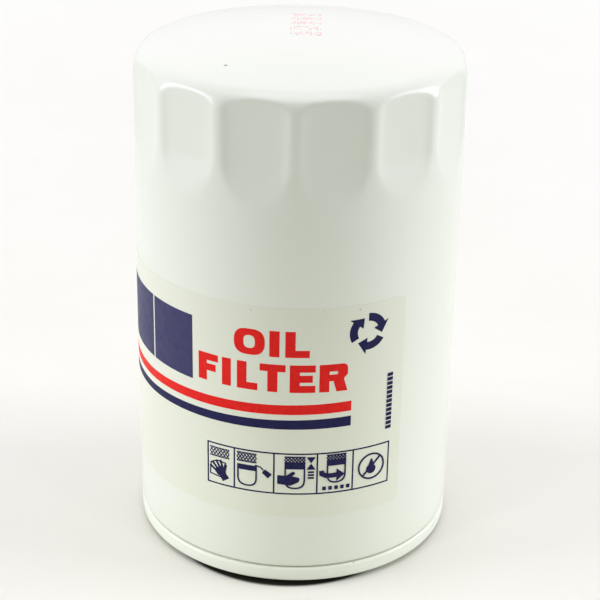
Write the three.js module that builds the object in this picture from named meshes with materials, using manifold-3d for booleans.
// Spin-on engine oil filter: a fluted steel can closed by a double-seamed lid, a threaded
// tapping plate, a rubber anti-drainback valve, a pleated paper element on a perforated
// centre tube, and a spring-loaded bypass valve at the dome end.
// Millimetres, +Z up. The filter stands on its base gasket: origin at the centre of the
// gasket's sealing face, front of the label towards -Y.
// Angles around the can are measured from -Y towards +X.

import * as THREE from "three";
import { mergeVertices } from "three/addons/utils/BufferGeometryUtils.js";
import Module from "manifold-3d";

const wasm = await Module();
wasm.setup();

// ---------------------------------------------------------------- driving dimensions
const HEIGHT = 123;
const CAN_RADIUS = 38;
const CAN_WALL = 0.45;
const LID_WALL = 0.6;
const CONTACT_GAP = 0.05; // left between pieces that touch

// wrench flutes pressed into the shoulder
const FLUTES = 14;
const FLUTE_PITCH = (2 * Math.PI) / FLUTES;
const RIDGE_ANGLE = THREE.MathUtils.degToRad(-1.3);
const FLUTE_RADIUS = 36.9; // at the middle of a flute
const FLUTE_RAMP_TOP = 102.7;
const FLUTE_RAMP_BOTTOM = 94.2;
const SHOULDER_Z = 114.6; // centre height of the shoulder's arc
const SHOULDER_RADIUS = 5;
const SHOULDER_SWEEP = THREE.MathUtils.degToRad(78);

// double seam at the open end
const SEAM_BOTTOM = 1.2;
const SEAM_TOP = 4.8;
const NECK_TOP = 6;
const CHUCK_WALL = { inner: 35.1, outer: 35.7 }; // the lid's wall inside the can's mouth
const CAN_HOOK = { inner: 35.75, turn: 36.2, back: 36.9, outer: 37.35, bottom: 1.85, end: 3.7 };
const LID_HOOK = { inner: 36.25, outer: 36.85, shell: 37.4, bottom: 1.8, end: 2.4, roof: 4.2 };
const SEAM_CORNERS = { top: 0.6, bottom: 1.1 };

// sealing gasket and its groove
const GASKET_INNER = 30.5;
const GASKET_OUTER = 35;
const GROOVE_FLOOR = 5.2;
const LIP_INNER = 29.6;
const LIP_BOTTOM = 2.6;

// tapping plate
const PLATE_BOTTOM = GROOVE_FLOOR + LID_WALL + CONTACT_GAP;
const PLATE_THICKNESS = 3.2;
const PLATE_TOP = PLATE_BOTTOM + PLATE_THICKNESS;
const PLATE_RADIUS = 35.4;
const HUB_RADIUS = 12.4;
const HUB_TOP = 17.5;
const HUB_FACE = 5.3;
const HUB_FILLET = 1.2;
const BOSS_RADIUS = 13.2;
const BOSS_CHAMFER = 0.6;
const INLETS = 8;
const INLET_CIRCLE = 21;
const INLET_RADIUS = 2.75;
const THREAD_MAJOR = 9.525; // 3/4-16 UNF
const THREAD_MINOR = 8.65;
const THREAD_PITCH = 25.4 / 16;
const LEAD_IN = { outer: 9.725, inner: 8.35, depth: 1.1 };

// anti-drainback valve
const COLLAR_INNER = 12.6;
const COLLAR_RADIUS = 15.6;
const COLLAR_CHAMFER_Z = 14.6;
const FLAP_INNER = 15.9;
const FLAP_OUTER = 28.5;
const FLAP_ROOT = { lower: 12.6, upper: 13.8 }; // heights of the flap's edge at the collar
const FLAP_LIP = 0.9;

// filter element
const CAP_WALL = 0.5;
const CAP_RADIUS = 33.5;
const CAP_RIM = 3.4;
const CAP_BOTTOM = 17.05;
const CAP_TOP = 108.7;
const CAP_HOLE = 13;
const ADHESIVE = 1.5;
const TUBE_RADIUS = 17.6;
const TUBE_WALL = 0.6;
const TUBE_TOP = 107.5;
const PLEATS = 48;
const PLEAT_OUTER = 31.9;
const PLEAT_INNER = 18.9;
const PAPER = 0.5;
const CLIP = { near: 26.5, bridge: 30.9, far: 31.3, wall: 0.4 };

// bypass valve
const SEAT_RADIUS = 7.5;
const SEAT_LIP = 1.3;
const CAGE_RADIUS = 12.5;
const CAGE_BOTTOM = 93;
const CAGE_WALL = 0.5;
const CAGE_WINDOW = { width: 7, height: 8 };
const STEM_RADIUS = 2.2;
const RIVET_HEAD = 4.6;
const DISC_RADIUS = 10.6;
const DISC_THICKNESS = 0.6;
const SEAL_INNER = 5.4;
const SEAL_OUTER = 10.4;
const SEAL_THICKNESS = 0.8;
const SPRING_WIRE = 1;
const SPRING_RADIUS = 7;
const SPRING_TURNS = 6;

// hold-down leaf spring
const LEAF = 0.6;
const LEG_WIDTH = 9;
const LEG_CROWN = 24; // radius where a leg touches the dome
const RING_INNER = 9.5;
const RING_OUTER = 15.5;

// printed label film
const LABEL_BOTTOM = 19;
const LABEL_TOP = 71.6;
const LABEL_RIGHT = THREE.MathUtils.degToRad(39.5);
const LABEL_LEFT = THREE.MathUtils.degToRad(-210);
const LABEL_FILM = 0.12;

const CAN_SEGMENTS = FLUTES * 3;
const INNER_SEGMENTS = 36;
const SMALL_SEGMENTS = 24;

// ---------------------------------------------------------------- materials
const finish = (color, roughness, metalness) =>
  new THREE.MeshStandardMaterial({ color, roughness, metalness });

const whitePaint = finish(0xeef0ea, 0.28, 0);
const barePlate = finish(0xb9bcc0, 0.38, 0.9);
const zincSheet = finish(0xc4c7ca, 0.42, 0.9);
const springSteel = finish(0x8d9094, 0.35, 0.95);
const blackRubber = finish(0x1b1b1c, 0.7, 0);
const nitrile = finish(0x2f2a26, 0.65, 0);
const paper = finish(0xd9b46a, 0.9, 0);
const plastisol = finish(0xb4532b, 0.55, 0);
const film = finish(0xe9ecdf, 0.3, 0);
const compound = finish(0x8a8f86, 0.8, 0);

// ---------------------------------------------------------------- geometry helpers
// A closed outline in the (radius, z) plane turned about Z. The outline closes on itself,
// or starts and ends on the axis.
function revolve(outline, segments) {
  const points = outline.map(([r, z]) => new THREE.Vector2(r, z));
  if (THREE.ShapeUtils.area(points) < 0) points.reverse();
  if (points[0].x > 0) points.push(points[0].clone());
  const lathe = new THREE.LatheGeometry(points, segments, RIDGE_ANGLE, 2 * Math.PI);
  return lathe.rotateX(Math.PI / 2);
}

// A plate-like outline in the XY plane raised from z0 to z1.
function raise(points, z0, z1) {
  const shape = new THREE.Shape(points);
  const body = new THREE.ExtrudeGeometry(shape, { depth: z1 - z0, bevelEnabled: false });
  return body.translate(0, 0, z0);
}

const polar = (radius, angle) =>
  new THREE.Vector2(radius * Math.sin(angle), -radius * Math.cos(angle));

// Points of an arc in the (radius, z) plane, from angle a0 to a1 measured from outwards to up.
function arc(centreR, centreZ, radius, a0, a1, steps) {
  return Array.from({ length: steps + 1 }, (_, i) => {
    const a = a0 + ((a1 - a0) * i) / steps;
    return [centreR + radius * Math.cos(a), centreZ + radius * Math.sin(a)];
  });
}

function toSolid(geometry) {
  const bare = geometry.index ? geometry.toNonIndexed() : geometry.clone();
  bare.deleteAttribute("normal");
  bare.deleteAttribute("uv");
  const merged = mergeVertices(bare, 1e-3);
  return new wasm.Manifold(
    new wasm.Mesh({
      numProp: 3,
      vertProperties: new Float32Array(merged.attributes.position.array),
      triVerts: new Uint32Array(merged.index.array),
    }),
  );
}

function toGeometry(solid) {
  const { vertProperties, triVerts } = solid.getMesh();
  const geometry = new THREE.BufferGeometry();
  geometry.setAttribute("position", new THREE.BufferAttribute(vertProperties, 3));
  geometry.setIndex(new THREE.BufferAttribute(triVerts, 1));
  geometry.computeVertexNormals();
  return geometry;
}

const cut = (body, tools) =>
  toGeometry(tools.reduce((left, tool) => left.subtract(toSolid(tool)), toSolid(body)));

const join = (bodies) =>
  toGeometry(bodies.slice(1).reduce((sum, body) => sum.add(toSolid(body)), toSolid(bodies[0])));

// A round rod along Z.
function rod(radius, z0, z1, sides) {
  const body = new THREE.CylinderGeometry(radius, radius, z1 - z0, sides);
  return body.rotateX(Math.PI / 2).translate(0, 0, (z0 + z1) / 2);
}

// A screw-shaped body about Z, used to cut a thread: crest and root alternate every half
// pitch along one continuous helix, and each end closes to a point on the axis.
function screw(root, crest, pitch, z0, turns, sides) {
  const rows = 2 * turns;
  const positions = [];
  const faces = [];
  const at = (row, column) => row * sides + column;
  const rowEnd = (row, column) => (column === sides ? at(row + 2, 0) : at(row, column));
  for (let row = 0; row <= rows + 2; row++)
    for (let column = 0; column < sides; column++) {
      const turn = column / sides;
      const flat = polar(row % 2 ? crest : root, turn * 2 * Math.PI);
      positions.push(flat.x, flat.y, z0 + (row / 2 + turn) * pitch);
    }
  for (let row = 0; row < rows; row++)
    for (let column = 0; column < sides; column++) {
      const [a, b] = [rowEnd(row, column), rowEnd(row, column + 1)];
      const [c, d] = [rowEnd(row + 1, column + 1), rowEnd(row + 1, column)];
      faces.push(a, b, c, a, c, d);
    }
  const bottom = positions.length / 3;
  positions.push(0, 0, z0 - pitch);
  const top = bottom + 1;
  positions.push(0, 0, z0 + (turns + 2) * pitch);
  for (let column = 0; column < sides; column++) {
    faces.push(bottom, rowEnd(0, column + 1), rowEnd(0, column));
    faces.push(top, rowEnd(rows, column), rowEnd(rows, column + 1));
  }
  faces.push(bottom, at(1, 0), at(2, 0), bottom, at(0, 0), at(1, 0));
  faces.push(top, at(rows + 1, 0), at(rows, 0), top, at(rows + 2, 0), at(rows + 1, 0));
  const geometry = new THREE.BufferGeometry();
  geometry.setAttribute("position", new THREE.Float32BufferAttribute(positions, 3));
  geometry.setIndex(faces);
  return geometry;
}

const filter = new THREE.Group();

function piece(name, geometry, material) {
  const mesh = new THREE.Mesh(geometry, material);
  mesh.name = name;
  filter.add(mesh);
  return mesh;
}

// ---------------------------------------------------------------- can
// Height of the domed end at a radius inside the shoulder.
const domeEdge = {
  r: CAN_RADIUS - SHOULDER_RADIUS + SHOULDER_RADIUS * Math.cos(SHOULDER_SWEEP),
  z: SHOULDER_Z + SHOULDER_RADIUS * Math.sin(SHOULDER_SWEEP),
};
const domeHeight = (r) => HEIGHT - (HEIGHT - domeEdge.z) * (r / domeEdge.r) ** 2;

// How far the flutes push in a point of the can, at an angle, radius and height.
function flutePush(angle, r, z) {
  const turn = (angle - RIDGE_ANGLE) / FLUTE_PITCH;
  const offset = 2 * Math.abs(turn - Math.floor(turn) - 0.5); // 0 mid-flute, 1 on a ridge
  const depth = CAN_RADIUS - FLUTE_RADIUS;
  const runOut = (FLUTE_RAMP_TOP - z) / (FLUTE_RAMP_TOP - FLUTE_RAMP_BOTTOM);
  return Math.max(0, r - FLUTE_RADIUS - depth * (offset ** 2 + Math.max(0, runOut)));
}

// Outside or inside surface of the can, from the dome's centre down to the seam's neck.
function canSurface(inset) {
  const radius = CAN_RADIUS - inset;
  const domeRadii = [0, 20];
  const rampHeights = [FLUTE_RAMP_TOP, 100, 97, FLUTE_RAMP_BOTTOM];
  return [
    ...domeRadii.map((r) => [r, domeHeight(r) - inset]),
    ...arc(CAN_RADIUS - SHOULDER_RADIUS, SHOULDER_Z, SHOULDER_RADIUS - inset, SHOULDER_SWEEP, 0, 5),
    ...rampHeights.map((z) => [radius, z]),
    ...arc(CAN_RADIUS - 1, NECK_TOP, 1 - inset, 0, -Math.PI / 2, 2),
  ];
}

function can() {
  const outside = canSurface(0);
  const inside = canSurface(CAN_WALL);
  // body hook of the double seam, from the outside surface to the inside one
  const neckBottom = NECK_TOP - 1;
  const hook = [
    [CAN_HOOK.turn, neckBottom],
    [CAN_HOOK.turn, CAN_HOOK.bottom + CAN_WALL],
    [CAN_HOOK.back, CAN_HOOK.bottom + CAN_WALL],
    [CAN_HOOK.back, CAN_HOOK.end],
    [CAN_HOOK.outer, CAN_HOOK.end],
    [CAN_HOOK.outer, CAN_HOOK.bottom],
    [CAN_HOOK.inner, CAN_HOOK.bottom],
    [CAN_HOOK.inner, neckBottom + CAN_WALL],
  ];
  const shell = revolve([...outside, ...hook, ...inside.reverse()], CAN_SEGMENTS);
  // The outline's rows, and the outside point whose push each one follows, so that the
  // wall keeps its thickness.
  const leaders = [...outside, ...hook, ...[...outside].reverse()];
  const position = shell.attributes.position;
  const isReversed = position.getZ(0) < domeHeight(0) - CAN_WALL / 2;
  if (isReversed) leaders.reverse();
  for (let i = 0; i < position.count; i++) {
    const [x, y, z] = [position.getX(i), position.getY(i), position.getZ(i)];
    const radius = Math.hypot(x, y);
    const [leadRadius, leadZ] = leaders[i % leaders.length];
    const push = flutePush(Math.atan2(x, -y), leadRadius, leadZ);
    if (push > 0) position.setXYZ(i, x * (1 - push / radius), y * (1 - push / radius), z);
  }
  return shell;
}
piece("can", can(), whitePaint);

// ---------------------------------------------------------------- lid, plate and gasket
// Rounded outer corner of the rolled seam.
const seamCorner = (z, radius, a0, a1) => arc(CAN_RADIUS - radius, z, radius, a0, a1, 3);

piece(
  "seaming_lid",
  revolve(
    [
      [LIP_INNER, LIP_BOTTOM],
      [LIP_INNER, GROOVE_FLOOR + LID_WALL],
      [CHUCK_WALL.outer, GROOVE_FLOOR + LID_WALL],
      [CHUCK_WALL.outer, LID_HOOK.bottom],
      [LID_HOOK.shell, LID_HOOK.bottom],
      [LID_HOOK.shell, LID_HOOK.roof],
      [LID_HOOK.outer, LID_HOOK.roof],
      [LID_HOOK.outer, LID_HOOK.end],
      [LID_HOOK.inner, LID_HOOK.end],
      [LID_HOOK.inner, SEAM_TOP],
      ...seamCorner(SEAM_TOP - SEAM_CORNERS.top, SEAM_CORNERS.top, Math.PI / 2, 0),
      ...seamCorner(SEAM_BOTTOM + SEAM_CORNERS.bottom, SEAM_CORNERS.bottom, 0, -Math.PI / 2),
      [CHUCK_WALL.inner, SEAM_BOTTOM],
      [CHUCK_WALL.inner, GROOVE_FLOOR],
      [LIP_INNER + LID_WALL, GROOVE_FLOOR],
      [LIP_INNER + LID_WALL, LIP_BOTTOM],
    ],
    CAN_SEGMENTS,
  ),
  whitePaint,
);

// Sealing compound in the fold of the lid, over the end of the can's hook.
piece(
  "seam_compound",
  revolve(
    [
      [CAN_HOOK.back, CAN_HOOK.end + CONTACT_GAP],
      [CAN_HOOK.outer, CAN_HOOK.end + CONTACT_GAP],
      [CAN_HOOK.outer, LID_HOOK.roof - CONTACT_GAP],
      [CAN_HOOK.back, LID_HOOK.roof - CONTACT_GAP],
    ],
    CAN_SEGMENTS,
  ),
  compound,
);

function tappingPlate() {
  const blank = revolve(
    [
      [0, HUB_FACE],
      [BOSS_RADIUS, HUB_FACE],
      [BOSS_RADIUS + BOSS_CHAMFER, PLATE_BOTTOM],
      [PLATE_RADIUS, PLATE_BOTTOM],
      [PLATE_RADIUS, PLATE_TOP],
      [HUB_RADIUS + HUB_FILLET, PLATE_TOP],
      [HUB_RADIUS, PLATE_TOP + HUB_FILLET],
      [HUB_RADIUS, HUB_TOP],
      [0, HUB_TOP],
    ],
    INNER_SEGMENTS,
  );
  const turns = Math.ceil((HUB_TOP - HUB_FACE) / THREAD_PITCH) + 2;
  const threadStart = HUB_FACE - 2 * THREAD_PITCH;
  const thread = screw(THREAD_MINOR, THREAD_MAJOR, THREAD_PITCH, threadStart, turns, 24);
  const leadIn = revolve(
    [
      [0, HUB_FACE - 1],
      [LEAD_IN.outer + 1, HUB_FACE - 1],
      [LEAD_IN.outer, HUB_FACE],
      [LEAD_IN.inner, HUB_FACE + LEAD_IN.depth],
      [0, HUB_FACE + LEAD_IN.depth],
    ],
    SMALL_SEGMENTS,
  );
  const inlets = Array.from({ length: INLETS }, (_, i) => {
    const centre = polar(INLET_CIRCLE, ((i + 0.5) * 2 * Math.PI) / INLETS);
    return rod(INLET_RADIUS, PLATE_BOTTOM - 1, PLATE_TOP + 1, 14).translate(centre.x, centre.y, 0);
  });
  return cut(blank, [thread, leadIn, ...inlets]);
}
piece("tapping_plate", tappingPlate(), barePlate);

piece(
  "base_gasket",
  revolve(
    [
      [GASKET_INNER, 0],
      [GASKET_OUTER, 0],
      [GASKET_OUTER, GROOVE_FLOOR - CONTACT_GAP],
      [GASKET_INNER, GROOVE_FLOOR - CONTACT_GAP],
    ],
    CAN_SEGMENTS,
  ),
  blackRubber,
);

// ---------------------------------------------------------------- anti-drainback valve
// One rubber moulding, divided at its flex line: the collar grips the hub, and the flap
// lies on the tapping plate over the inlet holes.
const COLLAR_TOP = CAP_BOTTOM - CONTACT_GAP;
const RUBBER_REST = PLATE_TOP + CONTACT_GAP;
piece(
  "drainback_valve_collar",
  revolve(
    [
      [COLLAR_INNER, RUBBER_REST + 1.4],
      [COLLAR_INNER + 1.3, RUBBER_REST],
      [COLLAR_RADIUS, RUBBER_REST],
      [COLLAR_RADIUS, COLLAR_CHAMFER_Z],
      [COLLAR_RADIUS - 1, COLLAR_TOP],
      [COLLAR_INNER, COLLAR_TOP],
    ],
    INNER_SEGMENTS,
  ),
  nitrile,
);
piece(
  "drainback_valve_flap",
  revolve(
    [
      [FLAP_INNER, FLAP_ROOT.lower],
      [FLAP_INNER, FLAP_ROOT.upper],
      [FLAP_OUTER - 2.1, RUBBER_REST + FLAP_LIP + 0.4],
      [FLAP_OUTER, RUBBER_REST + FLAP_LIP],
      [FLAP_OUTER, RUBBER_REST],
      [FLAP_OUTER - 2.9, RUBBER_REST],
      [FLAP_INNER + 1.7, FLAP_ROOT.lower - 0.5],
    ],
    INNER_SEGMENTS,
  ),
  nitrile,
);

// ---------------------------------------------------------------- filter element
piece(
  "bottom_end_cap",
  revolve(
    [
      [CAP_HOLE, CAP_BOTTOM],
      [CAP_RADIUS, CAP_BOTTOM],
      [CAP_RADIUS, CAP_BOTTOM + CAP_RIM],
      [CAP_RADIUS - CAP_WALL, CAP_BOTTOM + CAP_RIM],
      [CAP_RADIUS - CAP_WALL, CAP_BOTTOM + CAP_WALL],
      [CAP_HOLE, CAP_BOTTOM + CAP_WALL],
    ],
    INNER_SEGMENTS,
  ),
  zincSheet,
);
piece(
  "top_end_cap",
  revolve(
    [
      [SEAT_RADIUS, CAP_TOP],
      [CAP_RADIUS, CAP_TOP],
      [CAP_RADIUS, CAP_TOP - CAP_RIM],
      [CAP_RADIUS - CAP_WALL, CAP_TOP - CAP_RIM],
      [CAP_RADIUS - CAP_WALL, CAP_TOP - CAP_WALL],
      [SEAT_RADIUS + CAP_WALL, CAP_TOP - CAP_WALL],
      [SEAT_RADIUS + CAP_WALL, CAP_TOP - SEAT_LIP],
      [SEAT_RADIUS, CAP_TOP - SEAT_LIP],
    ],
    INNER_SEGMENTS,
  ),
  zincSheet,
);

// Potting ring that bonds the paper to an end cap.
function adhesiveRing(z0) {
  const inner = TUBE_RADIUS + 0.2;
  const outer = CAP_RADIUS - CAP_WALL - 0.2;
  const z1 = z0 + ADHESIVE;
  return revolve([[inner, z0], [outer, z0], [outer, z1], [inner, z1]], INNER_SEGMENTS);
}
const lowerGlue = CAP_BOTTOM + CAP_WALL + CONTACT_GAP;
const upperGlue = CAP_TOP - CAP_WALL - CONTACT_GAP - ADHESIVE;
piece("bottom_adhesive", adhesiveRing(lowerGlue), plastisol);
piece("top_adhesive", adhesiveRing(upperGlue), plastisol);

// Pleated paper: one strip folded in and out around the centre tube, with its two ends
// laid together along a radius at the back, where the clip holds them.
const paperBottom = lowerGlue + ADHESIVE + CONTACT_GAP;
const paperTop = upperGlue - CONTACT_GAP;
const SEAM_HALF_GAP = 0.35; // from the back radius to the middle of each end of the strip
const FOLD_HALF = 0.35; // half width of each fold's flat
const SEAM_END = 30.6;
function pleatLine() {
  const foldSide = SEAM_HALF_GAP + 2 * FOLD_HALF;
  const seamAngle = foldSide / PLEAT_INNER;
  const step = (2 * Math.PI - 2 * seamAngle) / PLEATS;
  const fold = (radius, turn) => {
    const angle = -Math.PI + seamAngle + turn * step;
    return [polar(radius, angle - FOLD_HALF / radius), polar(radius, angle + FOLD_HALF / radius)];
  };
  const seamSide = (side) => [
    new THREE.Vector2(side * SEAM_HALF_GAP, SEAM_END),
    new THREE.Vector2(side * SEAM_HALF_GAP, PLEAT_INNER),
    new THREE.Vector2(side * foldSide, PLEAT_INNER),
  ];
  const folds = Array.from({ length: 2 * PLEATS - 1 }, (_, i) =>
    fold(i % 2 ? PLEAT_INNER : PLEAT_OUTER, (i + 1) / 2),
  );
  return [...seamSide(-1), ...folds.flat(), ...seamSide(1).reverse()];
}

// One side of a strip that follows a line, at a distance from it, with mitred corners.
function offsetLine(line, distance) {
  return line.map((point, i) => {
    const before = line[i - 1] ?? point;
    const after = line[i + 1] ?? point;
    const into = point.clone().sub(before).normalize();
    const out = after.clone().sub(point).normalize();
    const mean = into.clone().add(out).normalize();
    const mitre = Math.max(mean.dot(into), mean.dot(out));
    const normal = new THREE.Vector2(-mean.y, mean.x);
    return point.clone().addScaledVector(normal, distance / mitre);
  });
}

function filterMedia() {
  const line = pleatLine();
  const outline = [...offsetLine(line, PAPER / 2), ...offsetLine(line, -PAPER / 2).reverse()];
  return raise(outline, paperBottom, paperTop);
}
piece("filter_media", filterMedia(), paper);

// Steel channel folded over the two ends of the paper, at the back.
function seamClip() {
  const inner = SEAM_HALF_GAP + PAPER / 2 + 0.1;
  const outer = inner + CLIP.wall;
  const outline = [
    [inner, CLIP.near],
    [outer, CLIP.near],
    [outer, CLIP.far],
    [-outer, CLIP.far],
    [-outer, CLIP.near],
    [-inner, CLIP.near],
    [-inner, CLIP.bridge],
    [inner, CLIP.bridge],
  ].map(([x, y]) => new THREE.Vector2(x, y));
  return raise(outline, paperBottom + 0.2, paperTop - 0.2);
}
piece("media_seam_clip", seamClip(), zincSheet);

function centreTube() {
  const [z0, z1] = [CAP_BOTTOM + CAP_WALL + CONTACT_GAP, TUBE_TOP];
  const inner = TUBE_RADIUS - TUBE_WALL;
  const outline = [[inner, z0], [TUBE_RADIUS, z0], [TUBE_RADIUS, z1], [inner, z1]];
  const wall = revolve(outline, 36);
  const punches = [];
  const [columns, rows, holeRadius] = [6, 6, 2.3];
  const rowPitch = (z1 - z0) / (rows + 0.6);
  for (let row = 0; row < rows; row++)
    for (let column = 0; column < columns / 2; column++) {
      const punch = new THREE.CylinderGeometry(holeRadius, holeRadius, 3 * TUBE_RADIUS, 8);
      const turn = ((column + (row % 2) / 2) * 2 * Math.PI) / columns;
      punches.push(punch.rotateZ(turn).translate(0, 0, z0 + (row + 0.8) * rowPitch));
    }
  return cut(wall, punches);
}
piece("center_tube", centreTube(), zincSheet);

// ---------------------------------------------------------------- bypass valve
const CAGE_TOP = CAP_TOP - CAP_WALL - 0.15;
function valveCage() {
  const stemHole = STEM_RADIUS + 0.4;
  const cup = revolve(
    [
      [stemHole, CAGE_BOTTOM],
      [CAGE_RADIUS, CAGE_BOTTOM],
      [CAGE_RADIUS, CAGE_TOP - CAGE_WALL],
      [TUBE_RADIUS, CAGE_TOP - CAGE_WALL],
      [TUBE_RADIUS, CAGE_TOP],
      [CAGE_RADIUS - CAGE_WALL, CAGE_TOP],
      [CAGE_RADIUS - CAGE_WALL, CAGE_BOTTOM + CAGE_WALL],
      [stemHole, CAGE_BOTTOM + CAGE_WALL],
    ],
    SMALL_SEGMENTS,
  );
  const window = new THREE.BoxGeometry(4 * CAGE_RADIUS, CAGE_WINDOW.width, CAGE_WINDOW.height);
  window.translate(0, 0, (CAGE_TOP + CAGE_BOTTOM) / 2);
  return cut(cup, [window, window.clone().rotateZ(Math.PI / 2)]);
}
piece("bypass_valve_cage", valveCage(), zincSheet);

const SEAL_TOP = CAP_TOP - SEAT_LIP - CONTACT_GAP;
const DISC_TOP = SEAL_TOP - SEAL_THICKNESS - CONTACT_GAP;
piece(
  "bypass_valve_disc",
  revolve(
    [
      [STEM_RADIUS + CONTACT_GAP, DISC_TOP - DISC_THICKNESS],
      [DISC_RADIUS, DISC_TOP - DISC_THICKNESS],
      [DISC_RADIUS, DISC_TOP],
      [STEM_RADIUS + CONTACT_GAP, DISC_TOP],
    ],
    SMALL_SEGMENTS,
  ),
  springSteel,
);
piece(
  "bypass_valve_stem",
  revolve(
    [
      [0, CAGE_BOTTOM - 1.5],
      [STEM_RADIUS - 0.5, CAGE_BOTTOM - 1.5],
      [STEM_RADIUS, CAGE_BOTTOM - 1],
      [STEM_RADIUS, DISC_TOP + CONTACT_GAP],
      [RIVET_HEAD, DISC_TOP + CONTACT_GAP],
      [RIVET_HEAD - 0.8, DISC_TOP + 0.9],
      [0, DISC_TOP + 1],
    ],
    SMALL_SEGMENTS,
  ),
  springSteel,
);
piece(
  "bypass_valve_seal",
  revolve(
    [
      [SEAL_INNER, DISC_TOP + CONTACT_GAP],
      [SEAL_OUTER, DISC_TOP + CONTACT_GAP],
      [SEAL_OUTER, SEAL_TOP],
      [SEAL_INNER, SEAL_TOP],
    ],
    SMALL_SEGMENTS,
  ),
  nitrile,
);

// Compression spring with one flat coil at each end.
class SpringCurve extends THREE.Curve {
  getPoint(t, target = new THREE.Vector3()) {
    const turn = t * SPRING_TURNS;
    const z0 = CAGE_BOTTOM + CAGE_WALL + SPRING_WIRE / 2 + 0.1;
    const z1 = DISC_TOP - DISC_THICKNESS - SPRING_WIRE / 2 - 0.1;
    const flatPitch = SPRING_WIRE + 0.08;
    const pitched = z1 - z0 - 2 * flatPitch;
    const lower = Math.min(turn, 1) * flatPitch;
    const middle = THREE.MathUtils.clamp((turn - 1) / (SPRING_TURNS - 2), 0, 1) * pitched;
    const upper = Math.max(0, turn - SPRING_TURNS + 1) * flatPitch;
    const flat = polar(SPRING_RADIUS, turn * 2 * Math.PI);
    return target.set(flat.x, flat.y, z0 + lower + middle + upper);
  }
}
function valveSpring() {
  const wire = new THREE.Shape().absarc(0, 0, SPRING_WIRE / 2, 0, 2 * Math.PI);
  return new THREE.ExtrudeGeometry(wire, {
    steps: SPRING_TURNS * 13,
    curveSegments: 3,
    extrudePath: new SpringCurve(),
    bevelEnabled: false,
  });
}
piece("bypass_spring", valveSpring(), springSteel);

// ---------------------------------------------------------------- hold-down spring
// Four-legged leaf spring between the element and the dome.
function holdDownSpring() {
  const seat = CAP_TOP + CONTACT_GAP;
  const ring = revolve(
    [[RING_INNER, seat], [RING_OUTER, seat], [RING_OUTER, seat + LEAF], [RING_INNER, seat + LEAF]],
    SMALL_SEGMENTS,
  );
  const root = RING_OUTER - 1;
  const crown = domeHeight(LEG_CROWN) - CAN_WALL - LEAF - 0.35;
  const side = new THREE.Shape();
  side.moveTo(root, seat);
  side.bezierCurveTo(root + 3.5, seat, LEG_CROWN - 4.5, crown, LEG_CROWN, crown);
  side.quadraticCurveTo(LEG_CROWN + 3.5, crown, LEG_CROWN + 5.5, crown - 2.6);
  side.lineTo(LEG_CROWN + 5.9, crown - 2.1);
  side.quadraticCurveTo(LEG_CROWN + 3.7, crown + LEAF, LEG_CROWN, crown + LEAF);
  side.bezierCurveTo(LEG_CROWN - 4.9, crown + LEAF, root + 3.1, seat + LEAF, root, seat + LEAF);
  const leg = new THREE.ExtrudeGeometry(side, {
    depth: LEG_WIDTH,
    curveSegments: 6,
    bevelEnabled: false,
  });
  leg.translate(0, 0, -LEG_WIDTH / 2).rotateX(Math.PI / 2);
  const legs = [0, 1, 2, 3].map((i) => leg.clone().rotateZ(((i + 0.5) * Math.PI) / 2));
  return join([ring, ...legs]);
}
piece("hold_down_spring", holdDownSpring(), springSteel);

// ---------------------------------------------------------------- label
// Radius of the can's faceted outline at an angle, for a circle through its corners.
function facetRadius(corner, angle) {
  const step = (2 * Math.PI) / CAN_SEGMENTS;
  const part = (angle - RIDGE_ANGLE) / step;
  const fromMiddle = (part - Math.floor(part) - 0.5) * step;
  return (corner * Math.cos(step / 2)) / Math.cos(fromMiddle);
}

function labelFilm() {
  const step = (2 * Math.PI) / CAN_SEGMENTS;
  const first = Math.ceil((LABEL_LEFT - RIDGE_ANGLE) / step + 0.01);
  const last = Math.floor((LABEL_RIGHT - RIDGE_ANGLE) / step - 0.01);
  const between = Array.from({ length: last - first + 1 }, (_, i) => RIDGE_ANGLE + (first + i) * step);
  const angles = [LABEL_LEFT, ...between, LABEL_RIGHT];
  const side = (corner) => angles.map((angle) => polar(facetRadius(corner, angle), angle));
  const back = CAN_RADIUS + CONTACT_GAP;
  return raise([...side(back + LABEL_FILM), ...side(back).reverse()], LABEL_BOTTOM, LABEL_TOP);
}
piece("label", labelFilm(), film);

export default filter;
